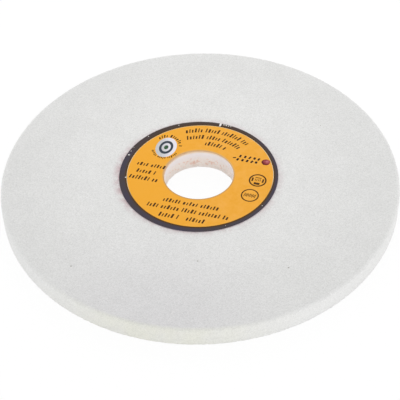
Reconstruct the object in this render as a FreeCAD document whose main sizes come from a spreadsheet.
import FreeCAD, Part
import os
import Sketcher

# A straight bench grinding wheel of white fused alumina grit in a glassy bond.
# A paper blotter is glued to its front face: it is the wheel's label, and the soft
# washer under the machine's flange. A dark border and an orange field are printed on it.
#
# The wheel lies on its bare back face. The origin is the centre of that face,
# +Z runs up the bore's axis and out of the printed front, and lengths are in millimetres.

SIZES = {
    # The pressed and fired wheel
    "wheel_diameter": 180.0,
    "wheel_width": 10.0,
    "bore_diameter": 32.0,
    "rim_rounding": 1.5,
    "bore_bevel": 0.3,
    # The paper blotter: its hole clears the bore all round, so the spindle never tears it
    "blotter_diameter": 72.0,
    "blotter_thickness": 0.3,
    "blotter_hole_clearance": 0.1,
    # The ink: the dark border runs off the cut edge of the paper, and a hairline of bare
    # paper parts it from the orange field
    "ink_thickness": 0.05,
    "border_width": 2.6,
    "hairline_width": 0.2,
    # The sheet was cut a little off the centre of its print
    "print_shift_x": 0.56,
    "print_shift_y": 0.30,
}

PARTS_FOLDER = "parts"
FULL_TURN = 360.0

doc = FreeCAD.newDocument("bench_grinding_wheel")

# The sheet of driving sizes

sheet = doc.addObject("Spreadsheet::Sheet", "sizes")
for row, (size_name, size_value) in enumerate(SIZES.items(), start=1):
    sheet.set(f"A{row}", size_name)
    sheet.set(f"B{row}", str(size_value))
    sheet.setAlias(f"B{row}", size_name)
doc.recompute()

# Sizes that follow from the driving ones, as formulas of the sheet

BLOTTER_HOLE = "sizes.bore_diameter + 2 * sizes.blotter_hole_clearance"
BORDER_INSIDE = "sizes.blotter_diameter - 2 * sizes.border_width"
FIELD_OUTSIDE = BORDER_INSIDE + " - 2 * sizes.hairline_width"
FRONT_FACE = "sizes.wheel_width"
PAPER_TOP = "sizes.wheel_width + sizes.blotter_thickness"


# Helpers for a sub-part, its sketches and its features

def new_body(name):
    """A sub-part, which is named as it is labelled."""
    body = doc.addObject("PartDesign::Body", name)
    body.Label = name
    return body


def new_sketch(body, name, plane_role):
    """A sketch on one of the body's own origin planes."""
    planes = {feature.Role: feature for feature in body.Origin.OriginFeatures}
    sketch = body.newObject("Sketcher::SketchObject", name)
    sketch.AttachmentSupport = [(planes[plane_role], "")]
    sketch.MapMode = "FlatFace"
    return sketch


def size_constraint(sketch, name, formula, kind, *geometry):
    """A dimension of a sketch, with a name of its own, that follows a formula."""
    start_value = sheet.evalExpression(formula)
    index = sketch.addConstraint(Sketcher.Constraint(kind, *geometry, start_value))
    sketch.renameConstraint(index, name)
    sketch.setExpression("Constraints." + name, formula)


def add_circle(sketch, name, diameter, off_centre=False):
    """A circle about the bore's axis, or about the shifted centre of the print."""
    radius = sheet.evalExpression(diameter) / 2
    centre = FreeCAD.Vector(0, 0, 0)
    if off_centre:
        centre = FreeCAD.Vector(SIZES["print_shift_x"], SIZES["print_shift_y"], 0)
    circle = sketch.addGeometry(Part.Circle(centre, FreeCAD.Vector(0, 0, 1), radius), False)
    size_constraint(sketch, name + "_diameter", diameter, "Diameter", circle)
    if off_centre:
        size_constraint(sketch, name + "_x", "sizes.print_shift_x", "DistanceX", -1, 1, circle, 3)
        size_constraint(sketch, name + "_y", "sizes.print_shift_y", "DistanceY", -1, 1, circle, 3)
    else:
        sketch.addConstraint(Sketcher.Constraint("Coincident", circle, 3, -1, 1))


def add_pad(body, sketch, thickness):
    """The sketch given a thickness upwards."""
    pad = body.newObject("PartDesign::Pad", body.Name + "_pad")
    pad.Profile = sketch
    pad.setExpression("Length", thickness)
    sketch.Visibility = False


def round_edges_of(feature, diameter):
    """The names of the feature's circular edges of that diameter."""
    radius = sheet.evalExpression(diameter) / 2
    names = []
    for number, edge in enumerate(feature.Shape.Edges, start=1):
        is_circle = isinstance(edge.Curve, Part.Circle)
        if is_circle and abs(edge.Curve.Radius - radius) < Part.Precision.confusion():
            names.append(f"Edge{number}")
    return names


# The wheel: half of its section, from the bore to the rim, turned about the axis

def build_wheel():
    body = new_body("abrasive_wheel")
    section = new_sketch(body, "wheel_section", "XZ_Plane")
    bore = SIZES["bore_diameter"] / 2
    rim = SIZES["wheel_diameter"] / 2
    width = SIZES["wheel_width"]
    corners = [
        FreeCAD.Vector(bore, 0, 0),
        FreeCAD.Vector(rim, 0, 0),
        FreeCAD.Vector(rim, width, 0),
        FreeCAD.Vector(bore, width, 0),
    ]
    back, outside, front, inside = [
        section.addGeometry(Part.LineSegment(start, end), False)
        for start, end in zip(corners, corners[1:] + corners[:1])
    ]
    for side, next_side in ((back, outside), (outside, front), (front, inside), (inside, back)):
        section.addConstraint(Sketcher.Constraint("Coincident", side, 2, next_side, 1))
    section.addConstraint(Sketcher.Constraint("PointOnObject", back, 1, -1))
    for flat in (back, front):
        section.addConstraint(Sketcher.Constraint("Horizontal", flat))
    for wall in (outside, inside):
        section.addConstraint(Sketcher.Constraint("Vertical", wall))
    size_constraint(section, "bore_radius", "sizes.bore_diameter / 2", "DistanceX", -1, 1, back, 1)
    size_constraint(section, "rim_radius", "sizes.wheel_diameter / 2", "DistanceX", -1, 1, back, 2)
    size_constraint(section, "width", "sizes.wheel_width", "DistanceY", outside, 1, outside, 2)

    turned = body.newObject("PartDesign::Revolution", "wheel_turned")
    turned.Profile = section
    turned.ReferenceAxis = (section, ["V_Axis"])
    turned.Angle = FULL_TURN
    section.Visibility = False
    doc.recompute()

    rounded = body.newObject("PartDesign::Fillet", "rim_rounded")
    rounded.Base = (turned, round_edges_of(turned, "sizes.wheel_diameter"))
    rounded.setExpression("Radius", "sizes.rim_rounding")
    doc.recompute()

    bevelled = body.newObject("PartDesign::Chamfer", "bore_bevelled")
    bevelled.Base = (rounded, round_edges_of(rounded, "sizes.bore_diameter"))
    bevelled.setExpression("Size", "sizes.bore_bevel")
    return body


# The blotter: a paper washer on the front face

def build_blotter():
    body = new_body("paper_blotter")
    outline = new_sketch(body, "blotter_outline", "XY_Plane")
    add_circle(outline, "outside", "sizes.blotter_diameter")
    add_circle(outline, "hole", BLOTTER_HOLE)
    add_pad(body, outline, "sizes.blotter_thickness")
    body.setExpression(".Placement.Base.z", FRONT_FACE)
    return body


# The dark border: it ends with the paper outside, and is round about the print inside

def build_border_print():
    body = new_body("border_print")
    outline = new_sketch(body, "border_outline", "XY_Plane")
    add_circle(outline, "outside", "sizes.blotter_diameter")
    add_circle(outline, "inside", BORDER_INSIDE, off_centre=True)
    add_pad(body, outline, "sizes.ink_thickness")
    body.setExpression(".Placement.Base.z", PAPER_TOP)
    return body


# The orange field: it is round about the print outside, and ends at the paper's hole

def build_field_print():
    body = new_body("field_print")
    outline = new_sketch(body, "field_outline", "XY_Plane")
    add_circle(outline, "outside", FIELD_OUTSIDE, off_centre=True)
    add_circle(outline, "hole", BLOTTER_HOLE)
    add_pad(body, outline, "sizes.ink_thickness")
    body.setExpression(".Placement.Base.z", PAPER_TOP)
    return body


sub_parts = [build_wheel(), build_blotter(), build_border_print(), build_field_print()]
doc.recompute()

# Every object and solid is sound before anything is written

for thing in doc.Objects:
    if "Invalid" in thing.State or "Error" in thing.State:
        raise RuntimeError(f"{thing.Label} failed: {thing.State}")
for sub_part in sub_parts:
    shape = sub_part.Shape
    if shape.isNull() or not shape.isValid() or len(shape.Solids) != 1:
        raise RuntimeError(f"{sub_part.Label} isn't one valid solid")

os.makedirs(PARTS_FOLDER, exist_ok=True)
for sub_part in sub_parts:
    sub_part.Shape.exportStep(f"{PARTS_FOLDER}/{sub_part.Label}.step")
    box = sub_part.Shape.BoundBox
    print(f"{sub_part.Label}: {sub_part.Shape.Volume:.1f} mm3, z {box.ZMin:.2f} to {box.ZMax:.2f}")
